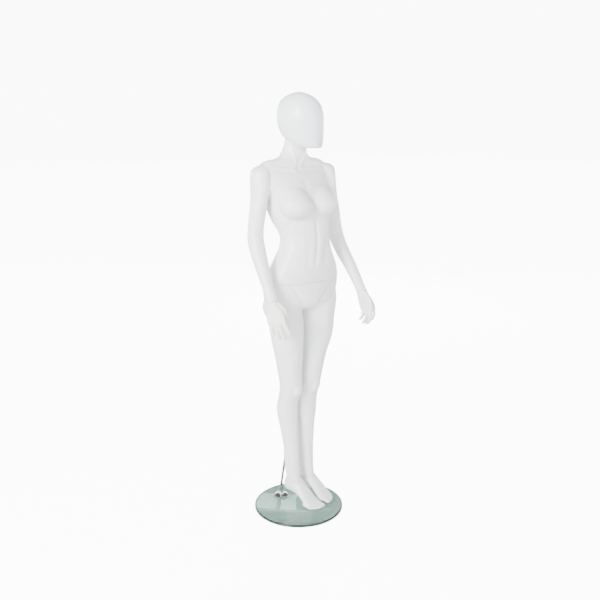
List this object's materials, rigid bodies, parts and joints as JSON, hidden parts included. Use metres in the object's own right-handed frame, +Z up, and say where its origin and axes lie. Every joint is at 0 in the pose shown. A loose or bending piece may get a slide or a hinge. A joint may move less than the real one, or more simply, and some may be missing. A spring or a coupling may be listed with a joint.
{
  "type": "full body mannequin",
  "caption": "Faceless standing female display mannequin in white polyethylene, taken apart at neck, shoulders, wrists, waist and hip, on a round glass base with a calf rod.",
  "frame": {"origin": "middle of the underside of the round glass base, which stands 4 mm above the floor on its pads; z = 0 is the floor", "axes": "+Z up, the figure faces -Y, its right side is at -X"},
  "size_m": [0.4989, 0.38, 1.735],
  "materials": {
    "body_white": "satin moulded polyethylene, off-white",
    "head_white": "satin moulded polyethylene, slightly cooler white",
    "hand_white": "satin moulded soft plastic, slightly warmer white",
    "green_glass": "clear float glass with a green tint and ground edge",
    "polished_chrome": "polished chrome plate",
    "zinc_steel": "zinc plated steel",
    "clear_rubber": "clear soft bumper"
  },
  "bodies": {
    "base": {"glass_base": "green_glass", "base_flange": "polished_chrome", "flange_washer": "zinc_steel", "flange_bolt": "zinc_steel", "rubber_pad_1": "clear_rubber", "rubber_pad_2": "clear_rubber", "rubber_pad_3": "clear_rubber", "rubber_pad_4": "clear_rubber"},
    "clamp": {"clamp_screw": "polished_chrome"},
    "rod": {"support_rod": "polished_chrome"},
    "lower_body": {"lower_body_shell": "body_white", "calf_tube": "zinc_steel", "hip_plate": "zinc_steel", "waist_plate": "zinc_steel", "waist_plate_screw_1": "zinc_steel", "waist_plate_screw_2": "zinc_steel", "waist_plate_screw_3": "zinc_steel"},
    "left_leg": {"left_leg_shell": "body_white", "left_leg_post": "zinc_steel"},
    "torso": {"torso_shell": "body_white", "waist_stud": "zinc_steel", "neck_plate": "zinc_steel", "right_shoulder_plate": "zinc_steel", "left_shoulder_plate": "zinc_steel", "waist_stud_screw_1": "zinc_steel", "waist_stud_screw_2": "zinc_steel", "waist_stud_screw_3": "zinc_steel"},
    "head": {"head_shell": "head_white", "neck_stud": "zinc_steel"},
    "right_arm": {"right_arm_shell": "body_white", "right_shoulder_stud": "zinc_steel", "right_wrist_plate": "zinc_steel"},
    "left_arm": {"left_arm_shell": "body_white", "left_shoulder_stud": "zinc_steel", "left_wrist_plate": "zinc_steel"},
    "right_hand": {"right_hand": "hand_white", "right_wrist_stud": "zinc_steel"},
    "left_hand": {"left_hand": "hand_white", "left_wrist_stud": "zinc_steel"}
  },
  "joints": [
    {"name": "clamp_screw_turn", "type": "hinge", "parent": "base", "child": "clamp", "pos_m": [-0.022, 0.102, 0.051], "axis": [1, 0, 0], "continuous": true},
    {"name": "rod_lift", "type": "slide", "parent": "base", "child": "rod", "axis": [0, 0, 1], "range_m": [0, 0.036]},
    {"name": "figure_lift", "type": "slide", "parent": "rod", "child": "lower_body", "axis": [0, -0.2164, 0.9763], "range_m": [0, 0.11]},
    {"name": "waist_turn", "type": "hinge", "parent": "lower_body", "child": "torso", "pos_m": [-0.024, -0.014, 1.01], "axis": [0, 0, 1], "range_deg": [-15, 15]},
    {"name": "head_turn", "type": "hinge", "parent": "torso", "child": "head", "pos_m": [0.002, 0.022, 1.546], "axis": [0, -0.3256, 0.9455], "range_deg": [-60, 35]},
    {"name": "right_arm_turn", "type": "hinge", "parent": "torso", "child": "right_arm", "pos_m": [-0.153, 0.011, 1.408], "axis": [-1, 0, 0], "range_deg": [-20, 60]},
    {"name": "left_arm_turn", "type": "hinge", "parent": "torso", "child": "left_arm", "pos_m": [0.129, 0.011, 1.408], "axis": [-1, 0, 0], "range_deg": [-20, 60]},
    {"name": "right_hand_turn", "type": "hinge", "parent": "right_arm", "child": "right_hand", "pos_m": [-0.192, -0.1, 0.958], "axis": [0.093, -0.2258, -0.9697], "range_deg": [-30, 30]},
    {"name": "left_hand_turn", "type": "hinge", "parent": "left_arm", "child": "left_hand", "pos_m": [0.24, -0.108, 0.95], "axis": [0.2363, -0.2835, -0.9294], "range_deg": [-30, 30]},
    {"name": "left_leg_pull", "type": "slide", "parent": "lower_body", "child": "left_leg", "axis": [1, 0, 0], "range_m": [0, 0.045]}
  ]
}
